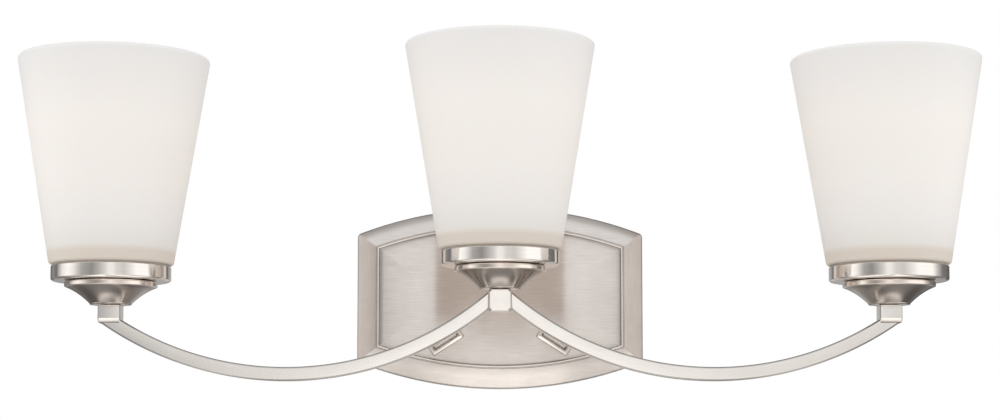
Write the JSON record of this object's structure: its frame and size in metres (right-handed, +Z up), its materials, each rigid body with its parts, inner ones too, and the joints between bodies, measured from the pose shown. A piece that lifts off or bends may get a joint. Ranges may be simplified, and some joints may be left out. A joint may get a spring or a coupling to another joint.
{
  "type": "vanity light bar",
  "caption": "Wall light with opal glass cone shades facing up on round nickel cups, carried by curved square arms on an arched, bevelled backplate.",
  "frame": {"origin": "middle of the backplate on the wall plane, on the back face of the mounting strap", "axes": "+X along the bar to the viewer's right, +Y into the wall, +Z up"},
  "size_m": [0.5536, 0.1616, 0.1955],
  "materials": {
    "brushed_nickel_plate": "nickel plated, brushed along the bar",
    "satin_nickel": "satin nickel plate",
    "polished_nickel": "polished nickel plate",
    "zinc_steel": "zinc plated",
    "green_screw": "green dyed plating",
    "brass": "plain",
    "phenolic": "moulded phenolic",
    "shell_aluminium": "bright drawn",
    "opal_glass": "etched opal white",
    "frosted_glass": "frosted"
  },
  "bodies": {
    "fixture": {"backplate": "brushed_nickel_plate", "mounting_strap": "zinc_steel", "ground_screw": "green_screw", "canopy_screw_left": "zinc_steel", "canopy_screw_right": "zinc_steel", "post_left": "polished_nickel", "post_right": "polished_nickel", "collar_left": "polished_nickel", "collar_right": "polished_nickel", "post_screw_left": "zinc_steel", "post_screw_right": "zinc_steel", "post_washer_left": "zinc_steel", "post_washer_right": "zinc_steel", "centre_block": "satin_nickel", "arm_left": "satin_nickel", "arm_right": "satin_nickel", "stem_left": "satin_nickel", "stem_right": "satin_nickel", "neck_left": "polished_nickel", "neck_centre": "polished_nickel", "neck_right": "polished_nickel", "cup_left": "polished_nickel", "cup_centre": "polished_nickel", "cup_right": "polished_nickel", "nipple_left": "zinc_steel", "nipple_centre": "zinc_steel", "nipple_right": "zinc_steel", "locknut_left": "brass", "locknut_centre": "brass", "locknut_right": "brass", "socket_left": "phenolic", "socket_centre": "phenolic", "socket_right": "phenolic", "screw_shell_left": "shell_aluminium", "screw_shell_centre": "shell_aluminium", "screw_shell_right": "shell_aluminium", "centre_contact_left": "brass", "centre_contact_centre": "brass", "centre_contact_right": "brass"},
    "left_shade": {"shade_left": "opal_glass"},
    "centre_shade": {"shade_centre": "opal_glass"},
    "right_shade": {"shade_right": "opal_glass"},
    "left_ring": {"shade_ring_left": "phenolic"},
    "centre_ring": {"shade_ring_centre": "phenolic"},
    "right_ring": {"shade_ring_right": "phenolic"},
    "left_bulb": {"bulb_cap_left": "shell_aluminium", "bulb_glass_left": "frosted_glass"},
    "centre_bulb": {"bulb_cap_centre": "shell_aluminium", "bulb_glass_centre": "frosted_glass"},
    "right_bulb": {"bulb_cap_right": "shell_aluminium", "bulb_glass_right": "frosted_glass"}
  },
  "joints": [
    {"name": "left_shade_lift", "type": "slide", "parent": "fixture", "child": "left_shade", "axis": [0, 0, 1], "range_m": [0, 0.06]},
    {"name": "centre_shade_lift", "type": "slide", "parent": "fixture", "child": "centre_shade", "axis": [0, 0, 1], "range_m": [0, 0.06]},
    {"name": "right_shade_lift", "type": "slide", "parent": "fixture", "child": "right_shade", "axis": [0, 0, 1], "range_m": [0, 0.06]},
    {"name": "left_ring_lift", "type": "slide", "parent": "left_shade", "child": "left_ring", "axis": [0, 0, 1], "range_m": [0, 0.13]},
    {"name": "centre_ring_lift", "type": "slide", "parent": "centre_shade", "child": "centre_ring", "axis": [0, 0, 1], "range_m": [0, 0.13]},
    {"name": "right_ring_lift", "type": "slide", "parent": "right_shade", "child": "right_ring", "axis": [0, 0, 1], "range_m": [0, 0.13]},
    {"name": "left_bulb_lift", "type": "slide", "parent": "left_ring", "child": "left_bulb", "axis": [0, 0, 1], "range_m": [0, 0.125]},
    {"name": "centre_bulb_lift", "type": "slide", "parent": "centre_ring", "child": "centre_bulb", "axis": [0, 0, 1], "range_m": [0, 0.125]},
    {"name": "right_bulb_lift", "type": "slide", "parent": "right_ring", "child": "right_bulb", "axis": [0, 0, 1], "range_m": [0, 0.125]}
  ]
}
